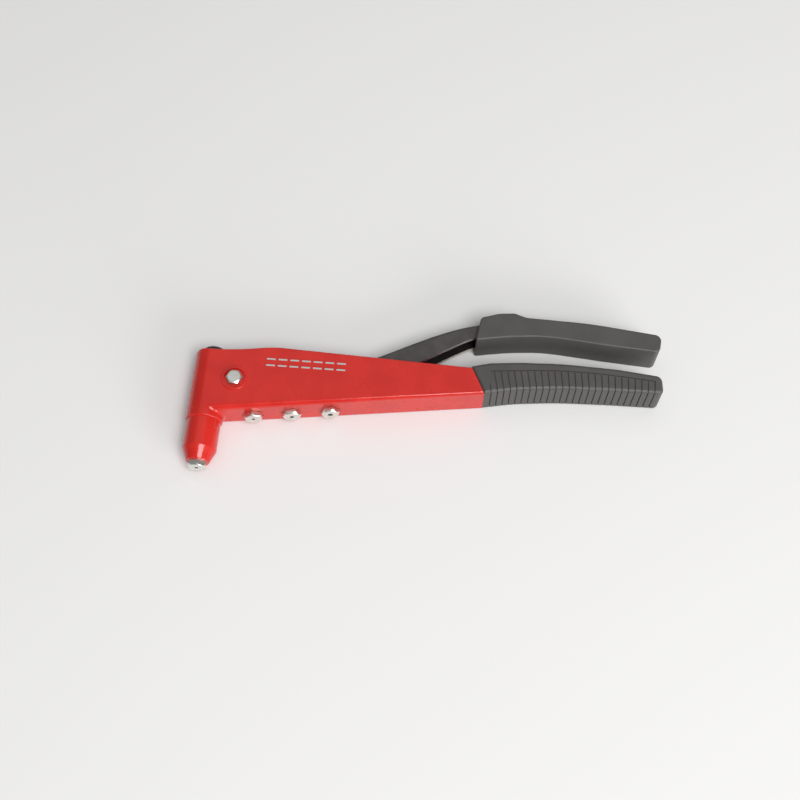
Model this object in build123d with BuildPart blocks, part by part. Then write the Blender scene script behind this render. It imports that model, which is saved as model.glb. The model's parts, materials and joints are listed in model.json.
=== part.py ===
from build123d import *
from math import atan2, cos, degrees, radians, sin, tan
import os

os.makedirs("parts", exist_ok=True)

# A hand riveter lying on its side. Millimetres.
# The origin is the middle of the fitted nosepiece's mouth. +Y runs up the barrel along the rivet's
# axis, +X towards the ends of the grips, and +Z out of the side face that is uppermost. Z = 0 is
# the tool's middle plane, so it rests on the plane Z = -body_width / 2.

# Clearances
slip = 0.05            # radial gap of a shaft in its bearing
seat = 0.03            # gap round what is screwed or pushed home
play = 0.2             # side gap between the lever and the body's walls
jaw_gap = 0.15         # gap between the jaws and their cone
touch = 0.05           # gap between faces that bear on each other
end_room = 0.3         # room beyond the end of what is screwed or pushed home
over = 1.0             # how far a cutting shape starts inside or outside a face
beyond = 20.0          # how far a cutting shape runs past the piece it cuts

# Body
body_width = 21.0      # across the two side faces
barrel_bottom = 28.0
body_top = 70.0        # top face over the barrel
front_corner = 3.5     # rounding of the barrel's upper front corner
saddle = (10.0, 70.3)  # lowest point of the top edge, behind the barrel
saddle_rise = (25.0, 72.0)
hump = (41.0, 73.4)    # highest point of the top edge
rear_top = (149.3, 69.1)
rear_bottom = (157.0, 53.4)
underside_start = barrel_bottom + 3.2  # height of the underside's line where it meets the rivet axis
belly_round_front = 3.2  # rounding of the underside's long edges, at the barrel and at the rear
belly_round_rear = 1.5
edge_round = 0.7       # rounding of the side faces' upper edges
rim_round = 0.8        # rounding of the barrel's lower rim
root_round = 2.2       # fillet where the barrel meets the underside
floor_thickness = 8.6  # metal under the channel, which the spare nosepieces screw into
channel_rear = 137.0
channel_front = -3.8
channel_lean = 4.0     # how far the channel's rear wall leans back
head_roof = 66.0       # underside of the roof over the barrel
roof_rear = 9.5

# Pivot
lever_arm = 15.5       # from the pivot to the rivet axis
pivot_height = 51.8
pivot = (lever_arm, pivot_height)
boss_radius = 7.4
boss_height = 0.7
boss_round = 0.35      # rounding of the boss's outer and inner rims
recess_radius = 6.2
recess_depth = 1.0     # below the side face
pivot_radius = 4.0     # the sleeve that the lever turns on
flange_radius = 6.0
flange_thickness = 1.5
bolt_radius = 2.5      # M5
bolt_hex = 8.0         # across flats
bolt_head = 3.5
bolt_length = 14.0
bolt_turn = 1.5
bolt_face_radius = 3.5  # flat top inside the chamfer
bolt_chamfer = 30.0
driver_slot = 1.2
driver_slot_depth = 0.7
driver_slot_turn = 35.0
flange_sink = 0.1      # depth of the flange below the side face

# Nose
nose_hex = 9.5         # across flats
nose_hex_height = 3.5
nose_thread_radius = 4.0
nose_thread_length = 5.0
nose_tail_length = 2.0
nose_tail_root = 3.1
nose_tail_taper = 19.0
nose_face_radius = 4.5
nose_chamfer_angle = 40.0
fitted_turn = 38.0
fitted_bore = 1.05     # radii of the mandrel bores
spare_bores = (1.0, 1.25, 1.45)
spare_turns = (27.0, -5.0, 47.0)  # how far each spare is turned about its own axis, in degrees
spare_first = 27.6     # from the foot of the rivet axis along the underside
spare_pitch = 21.85
spot_radius = 6.0      # round spot face that each spare is seated on
spot_depth = 0.3
sleeve_radius = 9.6
sleeve_rim_radius = 6.5
sleeve_cone_top = 10.8
sleeve_rim_round = 0.5
sleeve_shoulder_round = 1.5
spigot_radius = 8.6    # thread that holds the sleeve in the barrel
spigot_length = 11.0
chamber_radius = 7.35

# Carriage that grips and pulls the mandrel
fork_angle = 20.0      # the fork's tilt above the pivot when closed, and below it when open
bore_radius = 7.4
case_radius = 7.0
case_length = 22.0
case_clear = 0.4       # from the nosepiece's tail to the case when the lever is open
case_bore = 5.1
case_chamfer = 1.0
cone_mouth = 2.2
cone_angle = 12.0
neck_radius = 4.7
trunnion_radius = 2.0
trunnion_root = 0.5    # how far a trunnion starts inside the neck
fork_slack = 0.25
slot_lead = 0.3        # the slots' round ends lie this much nearer to the pivot than the trunnions
nut_hex = 12.0
nut_height = 3.5
nut_chamfer = 0.4
spigot_engaged = 5.6
neck_above = 4.0       # neck left above the trunnions' axis
neck_chamfer = 0.6
mandrel_radius = 1.8   # passage through pusher and coupling
spring_pocket = 3.5
spring_pocket_depth = 11.4
jaw_count = 3
jaw_length = 9.0
jaw_split = 0.3
jaw_bore = 0.8
jaw_set_back = 0.4     # from the case's front face
jaw_flare = 2.4        # radius of the countersink at the jaws' rear
jaw_flare_depth = 1.4
pusher_radius = 4.0
pusher_bore = 1.55
pusher_tail_length = 4.0
pusher_flange = 2.2
pusher_tail = 2.0      # radius of the tail inside the spring
spring_wire = 0.8
spring_turns = 9
spring_mean_radius = 2.8

# End cap
cap_radius = 6.3
cap_height = 4.1
cap_spigot = 5.5
cap_depth = 5.5
cap_bore = 3.0
cap_round = 1.6

# Lever, a channel of steel sheet open towards the fixed handle
sheet = 2.2
hub_radius = 8.0
fork_half = 4.6
fork_past = 2.8        # how far the fork reaches past the rivet axis, along itself
fork_round = 1.0
web_setback = 6.5      # from the pivot to where the channel's web begins
web_front = pivot[0] + web_setback
bend_radius = 1.8
web_steps = 12         # points that the web's inner face is drawn through
lever_upper = ((web_front, 60.2), (60, 62.8), (80, 67.0), (95.7, 74.0), (121.1, 87.2),
               (148.4, 98.3), (172, 102.0), (200, 101.5), (249, 96.6))
lever_lower = ((249, 90.4), (222, 93.4), (197, 94.9), (172, 94.2), (151.1, 90.4), (138.5, 83.8),
               (121.3, 73.2), (100, 61.8), (80, 55.2), (50, 49.6), (web_front, 46.4))

# Grips
lever_grip_width = 20.8
lever_grip_outline = (((150.6, 87.1), 1.0), ((153.0, 102.4), 3.0), ((163.5, 105.8), 8.0),
                      ((172.3, 106.7), 6.0), ((179.4, 104.3), 6.0), ((216, 103.1), 180.0),
                      ((257.7, 98.3), 4.0), ((256.3, 87.0), 3.5), ((225, 89.3), 200.0),
                      ((191, 92.4), 110.0), ((170, 90.6), 150.0))  # corners and their radii
handle_grip_width = 20.9
handle_grip_outline = ((rear_bottom, 0), ((148.9, 70.4), 0.8), ((160, 73.3), 12.0), ((178, 75.0), 100.0),
                       ((201, 75.9), 200.0), ((232, 74.8), 200.0), ((257.3, 72.1), 4.0),
                       ((258.2, 60.8), 3.0), ((228, 60.5), 300.0), ((200, 59.6), 250.0),
                       ((175, 57.0), 120.0))
lever_grip_round = 1.0  # roundings of the grips' long edges
handle_grip_round = 2.0
tang_width = 15.0
tang_upper = ((150.0, 66.0), (168, 71.2), (199, 72.8), (228, 72.1), (250, 70.2))
tang_lower = ((250, 64.2), (230, 63.6), (205, 62.8), (182.6, 60.4), (150.0, 55.0))
rib_top_line = ((160.0, 67.1), (176.7, 68.8), (199.4, 70.3), (222, 70.1), (253.4, 67.8))
groove_count = 26
groove_first = 160.4
groove_last = 252.9
groove_rise = (56.6, 9.6, -4.2)  # height of a groove's middle: at the first, then how it grows
groove_lean = (12.0, -13.0)      # degrees off upright: at the first groove, and the change to the last
groove_reach = 26.0
groove_width = 0.7
groove_depth = 0.7

# Two rows of raised bars on the side face
bar_first = (34.9, 65.4)   # middle of the first bar of the upper row
bar_length = 5.2
bar_width = 1.0
bar_pitch = 6.7
bar_count = 7
bar_rows = 2
bar_row_gap = 4.0
bar_height = 0.4

# Worked out from the sizes above
half_width = body_width / 2
ear_outside = half_width - 3.3
channel_half = ear_outside + play
fork_reach = lever_arm + fork_past
ear_inside = ear_outside - sheet
belly_slope = (rear_bottom[1] - underside_start) / rear_bottom[0]
belly_angle = degrees(atan2(rear_bottom[1] - underside_start, rear_bottom[0]))
travel = 2 * lever_arm * tan(radians(fork_angle))
tail_tip = nose_hex_height + nose_thread_length + nose_tail_length
case_front = tail_tip + case_clear + travel
case_rear = case_front + case_length
trunnion_level = pivot[1] + lever_arm * tan(radians(fork_angle))
coupling_bottom = case_rear - spigot_engaged
coupling_top = trunnion_level + neck_above
chamber_floor = nose_hex_height + nose_thread_length + end_room
jaw_front = case_front + jaw_set_back
jaw_rear = jaw_front + jaw_length
pusher_front = jaw_rear + 2 * touch
spring_bottom = pusher_front + pusher_flange
spring_top = coupling_bottom + spring_pocket_depth
wedge = tan(radians(cone_angle))


def level(y):
    """The plane across the rivet axis at height y, facing up the barrel."""
    return Plane(origin=(0, y, 0), x_dir=(1, 0, 0), z_dir=(0, 1, 0))


def underside(x):
    return underside_start + belly_slope * x


def spare_plane(distance):
    """The plane of a spare nosepiece's face, facing into the body square to the underside."""
    along = Vector(cos(radians(belly_angle)), sin(radians(belly_angle)), 0)
    inward = Vector(-along.Y, along.X, 0)
    face = Vector(0, underside_start, 0) + along * distance - inward * (nose_hex_height - spot_depth)
    return Plane(origin=face, x_dir=along, z_dir=inward)


def tang_lines():
    """Side view of the fixed handle's tang, drawn in the line builder that is open."""
    top = Spline(*tang_upper)
    end = Line(top @ 1, tang_lower[0])
    bottom = Spline(*tang_lower)
    Line(bottom @ 1, top @ 0)


spare_planes = [spare_plane(spare_first + spare_pitch * number) for number in range(len(spare_bores))]


# Body frame -------------------------------------------------------------------------------------
with BuildPart() as body_frame:
    # Side outline, then the half-round front of the barrel as seen from above.
    with BuildSketch() as side_outline:
        with BuildLine():
            front = Line((-half_width, underside_start), (-half_width, body_top - front_corner))
            corner = RadiusArc(front @ 1, (front_corner - half_width, body_top), front_corner)
            top_slope = Vector(*rear_top) - Vector(*hump)
            Spline(corner @ 1, saddle, saddle_rise, hump, tangents=((1, 0), top_slope))
            Polyline(hump, rear_top, rear_bottom, (0, underside_start), front @ 0)
        make_face()
    extrude(amount=half_width, both=True)
    upper_edges = body_frame.edges().filter_by(
        lambda edge: abs(abs((edge @ 0.5).Z) - half_width) < 0.01 and (edge @ 0.5).Y > head_roof)
    fillet(upper_edges, edge_round)
    with BuildSketch(level(0)) as plan:
        with Locations((rear_bottom[0] / 2, 0)):
            Rectangle(rear_bottom[0], body_width)
        Circle(half_width)
    extrude(amount=body_top + beyond, mode=Mode.INTERSECT)

    # The underside's long edges are rounded, less towards the rear.
    for side in (-1, 1):
        for across, radius in ((-over, belly_round_front), (rear_bottom[0] + over, belly_round_rear)):
            with BuildSketch(Plane(origin=(across, underside(across), side * half_width),
                                   x_dir=(0, 0, -side), z_dir=(side, 0, 0))):
                with BuildLine():
                    Polyline((radius, 0), (radius, -over), (-over, -over), (-over, radius), (0, radius))
                    RadiusArc((0, radius), (radius, 0), -radius)
                make_face()
        loft(ruled=True, mode=Mode.SUBTRACT)

    # Barrel below the underside
    with BuildSketch(level(barrel_bottom)):
        Circle(half_width)
    extrude(amount=underside_start + floor_thickness - barrel_bottom)
    barrel_rim = body_frame.edges().filter_by(GeomType.CIRCLE).sort_by(Axis.Y)[0]
    fillet(barrel_rim, rim_round)
    root = body_frame.edges().filter_by(GeomType.LINE, reverse=True).filter_by(
        lambda edge: barrel_bottom + rim_round < (edge @ 0.5).Y < underside_start + belly_round_front)
    fillet(root.filter_by(lambda edge: 0 < (edge @ 0.5).X < half_width), root_round)

    # Round boss about the pivot bolt's head
    with BuildSketch(Plane.XY.offset(half_width - over)):
        with Locations(pivot):
            Circle(boss_radius)
    extrude(amount=over + boss_height)
    boss_rim = body_frame.edges().filter_by(GeomType.CIRCLE).sort_by(Axis.Z)[-1]
    fillet(boss_rim, boss_round)

    # Raised bars
    with BuildSketch(Plane.XY.offset(half_width)):
        for row in range(bar_rows):
            for number in range(bar_count):
                with Locations((bar_first[0] + bar_pitch * number, bar_first[1] - bar_row_gap * row)):
                    SlotOverall(bar_length, bar_width)
    extrude(amount=bar_height)

    # Channel for the lever, open along the top behind the barrel
    with BuildSketch():
        with BuildLine():
            Polyline((channel_front, underside(channel_front) + floor_thickness),
                     (channel_rear, underside(channel_rear) + floor_thickness),
                     (channel_rear + channel_lean, body_top + beyond), (roof_rear, body_top + beyond),
                     (roof_rear, head_roof),
                     (channel_front, head_roof), close=True)
        make_face()
    extrude(amount=channel_half, both=True, mode=Mode.SUBTRACT)

    # Barrel bore, thread for the nose sleeve and hole for the end cap
    with BuildSketch(level(barrel_bottom)):
        Circle(bore_radius)
    extrude(amount=head_roof - barrel_bottom, mode=Mode.SUBTRACT)
    with BuildSketch(level(barrel_bottom)):
        Circle(spigot_radius + seat)
    extrude(amount=spigot_length + end_room, mode=Mode.SUBTRACT)
    with BuildSketch(level(head_roof)):
        Circle(cap_spigot + seat)
    extrude(amount=beyond, mode=Mode.SUBTRACT)

    # Pivot: recess for the bolt's head, its hole, and the flanged sleeve's seat
    with Locations(Location((*pivot, half_width - recess_depth))):
        Cylinder(recess_radius, beyond, align=(Align.CENTER, Align.CENTER, Align.MIN), mode=Mode.SUBTRACT)
    with Locations(Location((*pivot, 0))):
        Cylinder(bolt_radius + seat, half_width, align=(Align.CENTER, Align.CENTER, Align.MIN),
                 mode=Mode.SUBTRACT)
        Cylinder(pivot_radius + seat, half_width, align=(Align.CENTER, Align.CENTER, Align.MAX),
                 mode=Mode.SUBTRACT)
    with Locations(Location((*pivot, -half_width))):
        Cylinder(flange_radius + seat, flange_thickness + flange_sink,
                 align=(Align.CENTER, Align.CENTER, Align.MIN), mode=Mode.SUBTRACT)

    # Threaded holes that store the spare nosepieces
    for plane in spare_planes:
        with BuildSketch(plane):
            Circle(spot_radius)
        extrude(amount=nose_hex_height, mode=Mode.SUBTRACT)
        with BuildSketch(plane):
            Circle(nose_thread_radius + seat)
        extrude(amount=tail_tip + end_room, mode=Mode.SUBTRACT)

    # Tang inside the fixed grip
    with BuildSketch():
        with BuildLine():
            tang_lines()
        make_face()
    extrude(amount=tang_width / 2, both=True)
body_frame.part.label = "body_frame"


# Nose ------------------------------------------------------------------------------------------
with BuildPart() as nose_sleeve:
    with BuildSketch():
        with BuildLine():
            Polyline((nose_thread_radius + seat, nose_hex_height), (sleeve_rim_radius, nose_hex_height),
                     (sleeve_radius, sleeve_cone_top), (sleeve_radius, barrel_bottom),
                     (spigot_radius, barrel_bottom), (spigot_radius, barrel_bottom + spigot_length),
                     (chamber_radius, barrel_bottom + spigot_length), (chamber_radius, chamber_floor),
                     (nose_thread_radius + seat, chamber_floor), close=True)
        make_face()
    revolve(axis=Axis.Y)
    rim = nose_sleeve.edges().filter_by(GeomType.CIRCLE).filter_by(
        lambda edge: abs(edge.radius - sleeve_rim_radius) < 0.01)
    fillet(rim, sleeve_rim_round)
    shoulder = nose_sleeve.edges().filter_by(GeomType.CIRCLE).filter_by(
        lambda edge: abs(edge.center().Y - sleeve_cone_top) < 0.01)
    fillet(shoulder, sleeve_shoulder_round)
nose_sleeve.part.label = "nose_sleeve"


def make_nosepiece(plane, bore, turn):
    """A hexagon nosepiece with its face on the plane, and its thread and tail beyond it."""
    with BuildPart(plane) as nosepiece:
        with BuildSketch(plane):
            RegularPolygon(nose_hex / 2, 6, major_radius=False, rotation=turn)
        extrude(amount=nose_hex_height)
        with BuildSketch(plane):
            Circle(nose_face_radius)
        extrude(amount=nose_hex_height, taper=-nose_chamfer_angle, mode=Mode.INTERSECT)
        with BuildSketch(plane.offset(nose_hex_height)):
            Circle(nose_thread_radius)
        extrude(amount=nose_thread_length)
        with BuildSketch(plane.offset(nose_hex_height + nose_thread_length)):
            Circle(nose_tail_root)
        extrude(amount=nose_tail_length, taper=nose_tail_taper)
        with BuildSketch(plane):
            Circle(bore)
        extrude(amount=nose_hex_height + nose_thread_length + nose_tail_length, mode=Mode.SUBTRACT)
    return nosepiece


nosepiece_fitted = make_nosepiece(level(0), fitted_bore, fitted_turn)
nosepiece_fitted.part.label = "nosepiece_fitted"

spare_nosepieces = []
for number, plane in enumerate(spare_planes):
    spare = make_nosepiece(plane, spare_bores[number], spare_turns[number])
    spare.part.label = f"spare_nosepiece_{number + 1}"
    spare_nosepieces.append(spare)

# Pivot -----------------------------------------------------------------------------------------
with BuildPart() as pivot_bolt:
    with BuildSketch(Plane.XY.offset(half_width - recess_depth)):
        with Locations(pivot):
            RegularPolygon(bolt_hex / 2, 6, major_radius=False, rotation=bolt_turn)
    extrude(amount=bolt_head)
    with BuildSketch(Plane.XY.offset(half_width - recess_depth + bolt_head)):
        with Locations(pivot):
            Circle(bolt_face_radius)
    extrude(amount=-bolt_head, taper=bolt_chamfer - 90, mode=Mode.INTERSECT)
    with BuildSketch(Plane.XY.offset(half_width - recess_depth)):
        with Locations(pivot):
            Circle(bolt_radius)
    extrude(amount=-bolt_length)
pivot_bolt.part.label = "pivot_bolt"

with BuildPart() as pivot_sleeve:
    flange_face = flange_sink - half_width
    with BuildSketch(Plane.XY.offset(flange_face)):
        with Locations(pivot):
            Circle(flange_radius)
    extrude(amount=flange_thickness)
    with BuildSketch(Plane.XY.offset(flange_face)):
        with Locations(pivot):
            Circle(pivot_radius)
    extrude(amount=channel_half - flange_face)
    with BuildSketch(Plane.XY.offset(channel_half)):
        with Locations(pivot):
            Circle(bolt_radius + seat)
    extrude(amount=-bolt_length, mode=Mode.SUBTRACT)
    with BuildSketch(Plane.XY.offset(flange_face)):
        with Locations(Location((*pivot, 0), (0, 0, driver_slot_turn))):
            Rectangle(2 * flange_radius, driver_slot)
    extrude(amount=driver_slot_depth, mode=Mode.SUBTRACT)
pivot_sleeve.part.label = "pivot_sleeve"

# Carriage --------------------------------------------------------------------------------------
with BuildPart() as jaw_case:
    with BuildSketch():
        with BuildLine():
            Polyline((cone_mouth, case_front), (case_radius - case_chamfer, case_front),
                     (case_radius, case_front + case_chamfer),
                     (case_radius, case_rear), (case_bore, case_rear),
                     (case_bore, case_front + (case_bore - cone_mouth) / wedge), close=True)
        make_face()
    revolve(axis=Axis.Y)
jaw_case.part.label = "jaw_case"

with BuildPart() as pull_coupling:
    with BuildSketch():
        with BuildLine():
            Polyline((spring_pocket, coupling_bottom), (case_bore - seat, coupling_bottom),
                     (case_bore - seat, case_rear), (neck_radius, case_rear),
                     (neck_radius, coupling_top - neck_chamfer), (neck_radius - neck_chamfer, coupling_top),
                     (mandrel_radius, coupling_top), (mandrel_radius, spring_top),
                     (spring_pocket, spring_top), close=True)
        make_face()
    revolve(axis=Axis.Y)
    for side in (-1, 1):
        with BuildSketch(Plane.XY.offset(side * (neck_radius - trunnion_root))):
            with Locations((0, trunnion_level)):
                Circle(trunnion_radius)
        extrude(amount=side * (ear_outside - play - neck_radius + trunnion_root))
pull_coupling.part.label = "pull_coupling"

with BuildPart() as case_locknut:
    with BuildSketch(level(case_rear + touch)):
        RegularPolygon(nut_hex / 2, 6, major_radius=False)
        Circle(neck_radius + seat, mode=Mode.SUBTRACT)
    extrude(amount=nut_height)
    chamfer(case_locknut.faces().sort_by(Axis.Y)[-1].outer_wire().edges(), nut_chamfer)
case_locknut.part.label = "case_locknut"

# Jaws: a cone cut into equal sectors ---------------------------------------------------------------
jaws = []
for number in range(jaw_count):
    middle = 90 + 360 / jaw_count * number
    half_sector = 180 / jaw_count
    apex = Vector(jaw_split / 2 / sin(radians(half_sector)), 0).rotate(Axis.Z, middle)
    reach = [apex + Vector(beyond, 0).rotate(Axis.Z, middle + turn)
             for turn in (-half_sector, 0, half_sector)]
    with BuildPart() as jaw:
        with BuildSketch():
            with BuildLine():
                outer_front = cone_mouth + (jaw_front - case_front) * wedge - jaw_gap
                outer_rear = outer_front + jaw_length * wedge
                Polyline((jaw_bore, jaw_front), (outer_front, jaw_front), (outer_rear, jaw_rear),
                         (jaw_flare, jaw_rear), (jaw_bore, jaw_rear - jaw_flare_depth), close=True)
            make_face()
        revolve(axis=Axis.Y)
        with BuildSketch(level(jaw_front)):
            with BuildLine():
                Polyline(apex, *reach, close=True)
            make_face()
        extrude(amount=jaw_length, mode=Mode.INTERSECT)
    jaw.part.label = f"jaw_{number + 1}"
    jaws.append(jaw)

with BuildPart() as jaw_pusher:
    with BuildSketch():
        with BuildLine():
            Polyline((pusher_bore, pusher_front), (pusher_radius, pusher_front),
                     (pusher_radius, spring_bottom), (pusher_tail, spring_bottom),
                     (pusher_tail, spring_bottom + pusher_tail_length),
                     (pusher_bore, spring_bottom + pusher_tail_length), close=True)
        make_face()
    revolve(axis=Axis.Y)
jaw_pusher.part.label = "jaw_pusher"

with BuildPart() as jaw_spring:
    coil_height = spring_top - spring_bottom - spring_wire - 2 * touch
    coil_start = spring_bottom + spring_wire / 2 + touch
    with BuildLine() as coil:
        Helix(coil_height / spring_turns, coil_height, spring_mean_radius, center=(0, coil_start, 0),
              direction=(0, 1, 0))
    with BuildSketch(Plane(origin=coil.line @ 0, z_dir=coil.line % 0)):
        Circle(spring_wire / 2)
    sweep(path=coil.line, is_frenet=True)
jaw_spring.part.label = "jaw_spring"

# End cap ---------------------------------------------------------------------------------------
with BuildPart() as end_cap:
    with BuildSketch():
        with BuildLine():
            Polyline((cap_bore, body_top - cap_depth), (cap_spigot, body_top - cap_depth),
                     (cap_spigot, body_top + touch), (cap_radius, body_top + touch),
                     (cap_radius, body_top + touch + cap_height), (cap_bore, body_top + touch + cap_height),
                     close=True)
        make_face()
    revolve(axis=Axis.Y)
    rim = end_cap.edges().filter_by(GeomType.CIRCLE).filter_by(
        lambda edge: edge.center().Y > body_top + touch + cap_height - 0.01 and edge.radius > cap_bore + 1)
    fillet(rim, cap_round)
end_cap.part.label = "end_cap"


# Lever and its grip ------------------------------------------------------------------------------
def lever_lines():
    """Side view of the lever behind its ears, drawn in the line builder that is open."""
    upper = Spline(*lever_upper)
    lower = Spline(*lever_lower)
    Line(upper @ 1, lower @ 0)
    Line(lower @ 1, upper @ 0)
    return upper


with BuildPart() as lever:
    with BuildSketch():
        with BuildLine():
            upper_edge = lever_lines()
        make_face()
        with BuildLine():
            Polyline((pivot[0], pivot[1] + hub_radius), lever_upper[0], lever_lower[-1],
                     (pivot[0], pivot[1] - hub_radius), close=True)
        make_face()
        with Locations(pivot):
            Circle(hub_radius)
        with Locations(Location((*pivot, 0), (0, 0, 180 - fork_angle))):
            RectangleRounded(fork_reach, 2 * fork_half, fork_round, align=(Align.MIN, Align.CENTER))
    extrude(amount=ear_outside, both=True)
    bends = lever.edges().filter_by(GeomType.BSPLINE).filter_by(
        lambda edge: (edge @ 0.5).Y > (upper_edge @ 0.5).Y - 1 and abs((edge @ 0.5).Z) > 1)
    fillet(bends, bend_radius)
    with BuildSketch():
        with BuildLine():
            shares = [step / web_steps for step in range(web_steps + 1)]
            inner = Spline([upper_edge @ share - (upper_edge % share).rotate(Axis.Z, 90) * sheet
                            for share in shares])
            Polyline(inner @ 1, (inner @ 1) + Vector(beyond, 0), (inner @ 1) + Vector(beyond, -body_top),
                     (-beyond, 0), (-beyond, body_top), (inner @ 0) + Vector(0, beyond), inner @ 0)
        make_face()
    extrude(amount=ear_inside, both=True, mode=Mode.SUBTRACT)
    with BuildSketch():
        with Locations(pivot):
            Circle(pivot_radius + slip)
        with Locations(Location((*pivot, 0), (0, 0, 180 - fork_angle))):
            with Locations((lever_arm - slot_lead, 0)):
                Circle(trunnion_radius + fork_slack)
                Rectangle(fork_reach, 2 * (trunnion_radius + fork_slack), align=(Align.MIN, Align.CENTER))
    extrude(amount=half_width, both=True, mode=Mode.SUBTRACT)
lever.part.label = "lever"

with BuildPart() as lever_grip:
    with BuildSketch():
        with BuildLine():
            FilletPolyline([point for point, radius in lever_grip_outline],
                           radius=[radius for point, radius in lever_grip_outline], close=True)
        make_face()
    extrude(amount=lever_grip_width / 2, both=True)
    long_edges = lever_grip.edges().filter_by(
        lambda edge: abs(abs((edge @ 0.5).Z) - lever_grip_width / 2) < 0.01)
    fillet(long_edges, lever_grip_round)
    with BuildSketch():
        with BuildLine():
            lever_lines()
        make_face()
    extrude(amount=ear_outside, both=True, mode=Mode.SUBTRACT)
lever_grip.part.label = "lever_grip"


# Fixed grip ------------------------------------------------------------------------------------
def handle_grip_lines():
    """Side view of the fixed grip, drawn in the line builder that is open."""
    FilletPolyline([point for point, radius in handle_grip_outline],
                   radius=[radius for point, radius in handle_grip_outline], close=True)


# Rings where the grooves are cut, as deep as the grooves
with BuildPart() as groove_rings:
    with BuildSketch():
        for number in range(groove_count):
            part_way = number / (groove_count - 1)
            across = groove_first + (groove_last - groove_first) * part_way
            height = groove_rise[0] + groove_rise[1] * part_way + groove_rise[2] * part_way ** 2
            lean = groove_lean[0] + groove_lean[1] * part_way
            with Locations(Location((across, height, 0), (0, 0, lean))):
                Rectangle(groove_width, groove_reach)
    extrude(amount=half_width, both=True)
    with BuildSketch():
        with BuildLine():
            rib_top = Spline(*rib_top_line)
            below = Vector(0, body_width)
            Polyline(rib_top @ 1, (rib_top @ 1) - below, (rib_top @ 0) - below, rib_top @ 0)
        make_face()
    extrude(amount=half_width, both=True, mode=Mode.INTERSECT)
    # A groove along the ribs' tops joins the others.
    with BuildSketch():
        with BuildLine():
            rib_top = Spline(*rib_top_line)
            band = Spline([(across, height + groove_width) for across, height in rib_top_line])
            Line(rib_top @ 0, band @ 0)
            Line(rib_top @ 1, band @ 1)
        make_face()
    extrude(amount=half_width, both=True)
    with BuildSketch():
        with BuildLine():
            handle_grip_lines()
        make_face()
        offset(amount=-groove_depth, mode=Mode.REPLACE)
    extrude(amount=handle_grip_width / 2 - groove_depth, both=True, mode=Mode.SUBTRACT)

with BuildPart() as handle_grip:
    with BuildSketch():
        with BuildLine():
            handle_grip_lines()
        make_face()
    extrude(amount=handle_grip_width / 2, both=True)
    grip_edges = handle_grip.edges().filter_by(
        lambda edge: abs(abs((edge @ 0.5).Z) - handle_grip_width / 2) < 0.01
        and (edge @ 0.5).X > rear_bottom[0])
    fillet(grip_edges, handle_grip_round)
    add(groove_rings.part, mode=Mode.SUBTRACT)
    with BuildSketch():
        with BuildLine():
            tang_lines()
        make_face()
    extrude(amount=tang_width / 2, both=True, mode=Mode.SUBTRACT)
handle_grip.part.label = "handle_grip"

pieces = [body_frame, nose_sleeve, nosepiece_fitted, *spare_nosepieces, pivot_bolt, pivot_sleeve,
          jaw_case, pull_coupling, case_locknut, *jaws, jaw_pusher, jaw_spring, end_cap, lever,
          lever_grip, handle_grip]
for piece in pieces:
    export_step(piece.part, f"parts/{piece.part.label}.step")
    print(piece.part.label, round(piece.part.volume), piece.part.is_valid, len(piece.part.solids()))
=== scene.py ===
import json
from math import cos, radians, sin

import bpy
from mathutils import Matrix, Vector


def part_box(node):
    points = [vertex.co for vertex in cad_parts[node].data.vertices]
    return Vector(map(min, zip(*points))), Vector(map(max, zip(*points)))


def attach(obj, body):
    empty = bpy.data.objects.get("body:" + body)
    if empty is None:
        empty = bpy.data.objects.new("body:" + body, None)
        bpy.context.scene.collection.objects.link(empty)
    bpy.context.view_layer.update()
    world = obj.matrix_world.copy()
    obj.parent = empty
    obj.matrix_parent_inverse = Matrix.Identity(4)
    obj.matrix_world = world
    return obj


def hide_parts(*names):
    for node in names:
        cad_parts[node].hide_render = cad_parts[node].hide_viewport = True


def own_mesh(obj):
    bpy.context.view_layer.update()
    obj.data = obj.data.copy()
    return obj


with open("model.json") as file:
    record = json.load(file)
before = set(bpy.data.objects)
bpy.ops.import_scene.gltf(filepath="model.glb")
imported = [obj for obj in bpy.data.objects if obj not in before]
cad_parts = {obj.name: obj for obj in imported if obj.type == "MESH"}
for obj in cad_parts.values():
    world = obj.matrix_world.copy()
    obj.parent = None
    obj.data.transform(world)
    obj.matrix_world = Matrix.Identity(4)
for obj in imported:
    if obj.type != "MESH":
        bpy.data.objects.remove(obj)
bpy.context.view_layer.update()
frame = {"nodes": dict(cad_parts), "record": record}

# Looks of a hand riveter that lies on its side on a pale floor. Metres, in the frame of the CAD.
# The rivet axis is Y, the grips end towards +X, and the side face that is uppermost looks along +Z.

MM = 0.001
NODES = frame["nodes"]
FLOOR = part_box("body_frame")[0][2]      # the side face that the tool lies on
SIDE_FACE = -FLOOR                      # the side face that is uppermost
BARE_ABOVE = SIDE_FACE + 0.30 * MM      # the raised bars' tops are bare metal from here up
BARS_FROM = 28 * MM                     # the bars lie beyond this along X, and the pivot's boss before it
FLANGE_INSIDE = 5.0 * MM                # the inner faces of the lever's flanges, from the middle plane
FLOOR_REACH = 3.0                       # from the origin to the floor's edges
EDGE = 0.04 * MM                        # width of the soft edge of a mask on the bars


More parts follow.
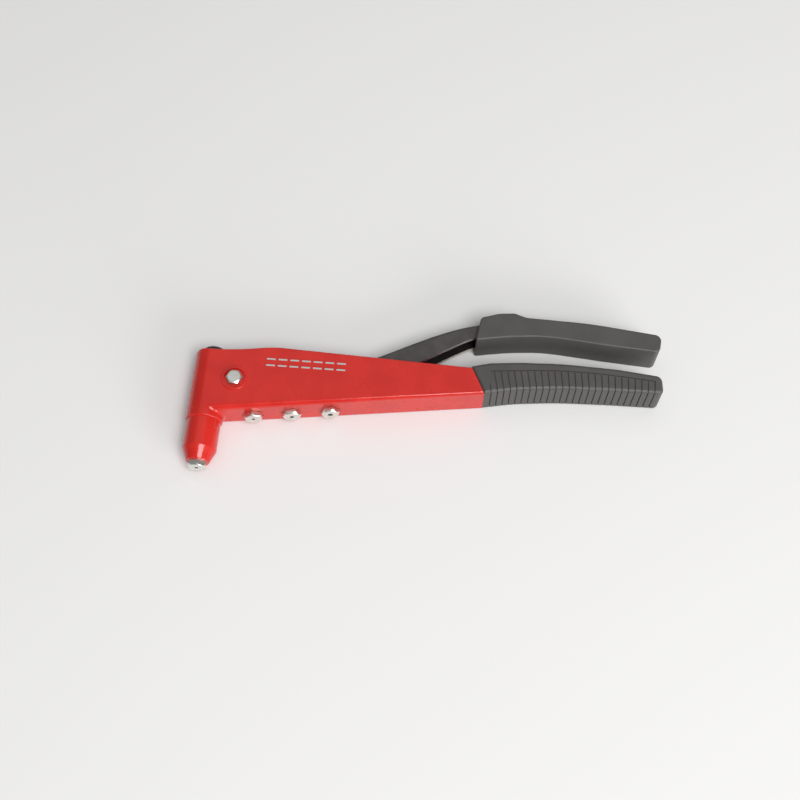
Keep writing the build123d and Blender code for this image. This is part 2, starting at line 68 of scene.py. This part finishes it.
# Small helpers for node materials ----------------------------------------------------------------
class Nodes:
    """A node material under construction. Each method adds one node and returns its output."""

    def __init__(self, name, base, roughness, metallic=0.0, specular=0.5, coat=0.0, coat_roughness=0.1):
        self.material = bpy.data.materials.new(name)
        self.material.use_nodes = True
        self.tree = self.material.node_tree
        self.shader = self.tree.nodes["Principled BSDF"]
        self.shader.inputs["Base Color"].default_value = (*base, 1)
        self.shader.inputs["Roughness"].default_value = roughness
        self.shader.inputs["Metallic"].default_value = metallic
        self.shader.inputs["Specular IOR Level"].default_value = specular
        self.shader.inputs["Coat Weight"].default_value = coat
        self.shader.inputs["Coat Roughness"].default_value = coat_roughness
        self.place = self.new("ShaderNodeTexCoord").outputs["Object"]

    def new(self, kind, **settings):
        node = self.tree.nodes.new(kind)
        for key, value in settings.items():
            setattr(node, key, value)
        return node

    def put(self, value, socket):
        """Sets a socket to a number or colour, or links an output to it."""
        if isinstance(value, bpy.types.NodeSocket):
            self.tree.links.new(value, socket)
        else:
            socket.default_value = value

    def math(self, operation, a, b=0.0):
        node = self.new("ShaderNodeMath", operation=operation)
        for value, socket in zip((a, b), node.inputs):
            self.put(value, socket)
        return node.outputs[0]

    def split(self, vector):
        node = self.new("ShaderNodeSeparateXYZ")
        self.put(vector, node.inputs[0])
        return node.outputs

    def normal(self):
        """The surface's own direction in the object's space."""
        turn = self.new("ShaderNodeVectorTransform", vector_type="NORMAL", convert_from="WORLD",
                        convert_to="OBJECT")
        self.put(self.new("ShaderNodeNewGeometry").outputs["Normal"], turn.inputs[0])
        return self.split(turn.outputs[0])

    def noise(self, size, detail=2.0, rough=0.5, stretch=(1, 1, 1)):
        """Noise between 0 and 1 whose features measure about size."""
        mapping = self.new("ShaderNodeMapping")
        mapping.inputs["Scale"].default_value = stretch
        self.put(self.place, mapping.inputs["Vector"])
        node = self.new("ShaderNodeTexNoise")
        node.inputs["Scale"].default_value = 1 / size
        node.inputs["Detail"].default_value = detail
        node.inputs["Roughness"].default_value = rough
        self.put(mapping.outputs[0], node.inputs["Vector"])
        return node.outputs["Fac"]

    def ramp(self, value, start, end, low=0.0, high=1.0):
        """low below start, high above end, and smooth between."""
        node = self.new("ShaderNodeMapRange", interpolation_type="SMOOTHSTEP")
        for number, socket in zip((start, end, low, high), node.inputs[1:5]):
            socket.default_value = number
        self.put(value, node.inputs[0])
        return node.outputs[0]

    def mix(self, factor, a, b):
        node = self.new("ShaderNodeMix", data_type="RGBA")
        colour = [socket for socket in node.inputs if socket.type == "RGBA"]
        self.put(factor, node.inputs[0])
        for value, socket in zip((a, b), colour):
            self.put((*value, 1) if isinstance(value, tuple) else value, socket)
        return [socket for socket in node.outputs if socket.type == "RGBA"][0]

    def bump(self, height, depth, under=None):
        """Surface relief: height runs from 0 to 1, and depth is its size in metres."""
        node = self.new("ShaderNodeBump")
        node.inputs["Strength"].default_value = 1.0
        node.inputs["Distance"].default_value = depth
        self.put(height, node.inputs["Height"])
        if under is not None:
            self.put(under, node.inputs["Normal"])
        return node.outputs[0]

    def set(self, **sockets):
        for name, value in sockets.items():
            self.put(value, self.shader.inputs[name.replace("_", " ")])
        return self.material


# Materials ---------------------------------------------------------------------------------------
def red_paint():
    m = Nodes("red_paint", (0.52, 0.016, 0.010), 0.24, specular=0.25, coat=0.5, coat_roughness=0.04)
    place = m.split(m.place)
    # The tops of the raised bars are ground back to bare metal.
    bare = m.math("MULTIPLY", m.ramp(place["Z"], BARE_ABOVE, BARE_ABOVE + EDGE),
                  m.ramp(place["X"], BARS_FROM, BARS_FROM + MM))
    cloud = m.noise(14 * MM, 3)
    paint = m.mix(m.ramp(cloud, 0.3, 0.7), (0.51, 0.012, 0.007), (0.57, 0.017, 0.010))
    colour = m.mix(bare, paint, (0.74, 0.74, 0.72))
    peel = m.noise(0.9 * MM, 1)
    casting = m.noise(4.5 * MM, 3, 0.55)
    relief = m.bump(peel, 0.006 * MM, m.bump(casting, 0.05 * MM))
    return m.set(Base_Color=colour, Metallic=bare, Roughness=m.ramp(cloud, 0.2, 0.8, 0.20, 0.32),
                 Normal=relief)


def zinc_plate():
    m = Nodes("zinc_plate", (0.80, 0.80, 0.76), 0.28, metallic=1.0)
    stain = m.noise(3.5 * MM, 3)
    tint = m.mix(m.ramp(stain, 0.3, 0.7), (0.74, 0.75, 0.70), (0.84, 0.84, 0.80))
    turned = m.noise(0.25 * MM, 2, stretch=(1, 4, 1))
    return m.set(Base_Color=tint, Roughness=m.ramp(stain, 0.3, 0.7, 0.26, 0.34),
                 Normal=m.bump(turned, 0.005 * MM))


def turned_steel(name, base, roughness):
    """Steel turned about the rivet axis: fine rings across Y."""
    m = Nodes(name, base, roughness, metallic=1.0)
    rings = m.noise(0.35 * MM, 2, stretch=(0.15, 3, 0.15))
    worn = m.noise(3 * MM, 3)
    tint = m.mix(m.ramp(worn, 0.3, 0.75), tuple(0.8 * part for part in base), base)
    return m.set(Base_Color=tint, Roughness=m.ramp(worn, 0.2, 0.8, roughness - 0.06, roughness + 0.1),
                 Normal=m.bump(rings, 0.01 * MM))


def black_steel():
    """Black coated sheet. The flanges' sheared edges, which face the fixed grip, are bare."""
    m = Nodes("black_steel", (0.052, 0.048, 0.046), 0.38, specular=0.5)
    from_middle = m.math("ABSOLUTE", m.split(m.place)["Z"])
    normal_y = m.normal()["Y"]
    flange = m.ramp(from_middle, FLANGE_INSIDE - 0.1 * MM, FLANGE_INSIDE)
    down = m.ramp(m.math("MULTIPLY", normal_y, -1.0), 0.55, 0.65)
    scratch = m.ramp(m.noise(1.6 * MM, 4), 0.28, 0.42)
    bare = m.math("MULTIPLY", m.math("MULTIPLY", flange, down), scratch)
    # The channel's inside is painted near-black as shade: this darkening stands in for the shadow inside
    # the channel.
    inside = m.ramp(from_middle, FLANGE_INSIDE + 0.06 * MM, FLANGE_INSIDE + 0.08 * MM, 1.0, 0.0)
    painted_shade_inside = m.math("MULTIPLY", inside, m.ramp(normal_y, 0.2, 0.4, 1.0, 0.0))
    cloud = m.noise(8 * MM, 3)
    coat = m.mix(m.ramp(cloud, 0.3, 0.7), (0.046, 0.042, 0.040), (0.064, 0.059, 0.056))
    # painted shade: the coat colour turns near-black on the channel's inner faces
    coat = m.mix(painted_shade_inside, coat, (0.008, 0.007, 0.006))
    colour = m.mix(bare, coat, (0.62, 0.58, 0.52))
    grit = m.noise(0.5 * MM, 2)
    return m.set(Base_Color=colour, Metallic=bare, Roughness=m.ramp(cloud, 0.2, 0.8, 0.34, 0.46),
                 Normal=m.bump(grit, 0.012 * MM))


def grip_plastic(name, base):
    """Moulded plastic with a fine spark texture, faint scuffs and a slightly paler bloom."""
    m = Nodes(name, base, 0.46, specular=0.45)
    bloom = m.noise(16 * MM, 4)
    speck = m.noise(1.1 * MM, 3)
    pale = tuple(1.25 * part for part in base)
    dusty = m.mix(m.ramp(speck, 0.62, 0.75, 0.0, 0.35), base, tuple(1.7 * part for part in base))
    colour = m.mix(m.ramp(bloom, 0.35, 0.7, 0.0, 0.6), dusty, pale)
    spark = m.noise(0.28 * MM, 2, 0.6)
    return m.set(Base_Color=colour, Roughness=m.ramp(bloom, 0.3, 0.7, 0.40, 0.52),
                 Normal=m.bump(spark, 0.02 * MM))


def black_plastic():
    m = Nodes("cap_plastic", (0.022, 0.022, 0.023), 0.35, specular=0.5)
    cloud = m.noise(3 * MM, 3)
    colour = m.mix(cloud, (0.018, 0.018, 0.019), (0.03, 0.03, 0.031))
    return m.set(Base_Color=colour, Roughness=m.ramp(cloud, 0.3, 0.7, 0.3, 0.42),
                 Normal=m.bump(m.noise(0.3 * MM, 2), 0.01 * MM))


FINISHES = {
    "red_paint": red_paint(),
    "zinc_steel": zinc_plate(),
    "machined_steel": turned_steel("machined_steel", (0.58, 0.58, 0.57), 0.30),
    "hardened_steel": turned_steel("hardened_steel", (0.30, 0.29, 0.28), 0.36),
    "spring_steel": turned_steel("spring_steel", (0.45, 0.45, 0.46), 0.28),
    "black_steel": black_steel(),
    "grip_plastic": grip_plastic("grip_plastic", (0.068, 0.064, 0.061)),
    "cap_plastic": black_plastic(),
}
for part in frame["record"]["subparts"]:
    node = NODES[part["node"]]
    node.data.materials.clear()
    node.data.materials.append(FINISHES[part["material_slot"]])


# The spring is copied to a mesh of its own and carried by the carriage ---------------------------------
def pressed_spring():
    coil = NODES["jaw_spring"]
    spring = bpy.data.objects.new("pressed_spring", coil.data.copy())
    bpy.context.scene.collection.objects.link(spring)
    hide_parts("jaw_spring")
    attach(spring, "carriage")
    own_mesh(spring)


pressed_spring()


# Floor -------------------------------------------------------------------------------------------
def floor():
    mesh = bpy.data.meshes.new("floor")
    corners = [(FLOOR_REACH * x, FLOOR_REACH * y, FLOOR) for x, y in ((-1, -1), (1, -1), (1, 1), (-1, 1))]
    mesh.from_pydata(corners, [], [(0, 1, 2, 3)])
    plane = bpy.data.objects.new("floor", mesh)
    bpy.context.scene.collection.objects.link(plane)
    m = Nodes("pale_floor", (0.76, 0.756, 0.75), 0.9, specular=0.1)
    shade = m.mix(m.noise(0.4, 1), (0.755, 0.752, 0.748), (0.775, 0.772, 0.768))
    mesh.materials.append(m.set(Base_Color=shade))


floor()

# Light -------------------------------------------------------------------------------------------
MIDDLE = Vector((0.11, 0.05, 0.0))
SKY = 0.27
SKY_COLOUR = (1, 0.995, 0.985, 1)
# Name, direction, distance, size and power. The window is high in front, the front lamp low, so that it
# lights the underside, and the back lamp gives the bolt its grey top.
LAMPS = (
    ("window", (0.30, -0.41, 0.86), 2.8, (1.3, 1.4), 60.0),
    ("front", (0.66, -0.70, 0.28), 2.6, (1.4, 1.0), 38.0),
    ("back", (-0.03, 0.43, 0.90), 2.2, (2.2, 1.3), 3.5),
)


def soft_light(name, direction, distance, size, power):
    """A rectangular lamp, seen from the tool's middle in the given direction."""
    data = bpy.data.lights.new(name, "AREA")
    data.shape = "RECTANGLE"
    data.size, data.size_y = size
    data.energy = power
    lamp = bpy.data.objects.new(name, data)
    toward = Vector(direction).normalized()
    lamp.location = MIDDLE + toward * distance
    lamp.rotation_euler = (-toward).to_track_quat("-Z", "Y").to_euler()
    bpy.context.scene.collection.objects.link(lamp)


for lamp_facts in LAMPS:
    soft_light(*lamp_facts)

world = bpy.data.worlds.new("studio")
world.use_nodes = True
background = world.node_tree.nodes["Background"]
background.inputs["Color"].default_value = SKY_COLOUR
background.inputs["Strength"].default_value = SKY
bpy.context.scene.world = world
bpy.context.scene.view_settings.view_transform = "Standard"

# Camera ------------------------------------------------------------------------------------------
# It looks down at the tool from the nose's side. The tool is turned a little on the floor.
ELEVATION = radians(64.5)
TURN = radians(4.44)
DISTANCE = 0.673
AIM = Vector((0.1097, 0.0504, 0.0))     # the spot in the middle of the picture
SENSOR = 36.0
LENS = 53.0

camera_data = bpy.data.cameras.new("camera")
camera_data.sensor_width = SENSOR
camera_data.lens = LENS
camera = bpy.data.objects.new("camera", camera_data)
right = Vector((cos(TURN), sin(TURN), 0))
away = Vector((-sin(TURN), cos(TURN), 0))
forward = away * cos(ELEVATION) - Vector((0, 0, sin(ELEVATION)))
up = right.cross(forward)
turn = Matrix((right, up, -forward)).transposed().to_4x4()
camera.matrix_world = Matrix.Translation(AIM - forward * DISTANCE) @ turn
bpy.context.scene.collection.objects.link(camera)
bpy.context.scene.camera = camera
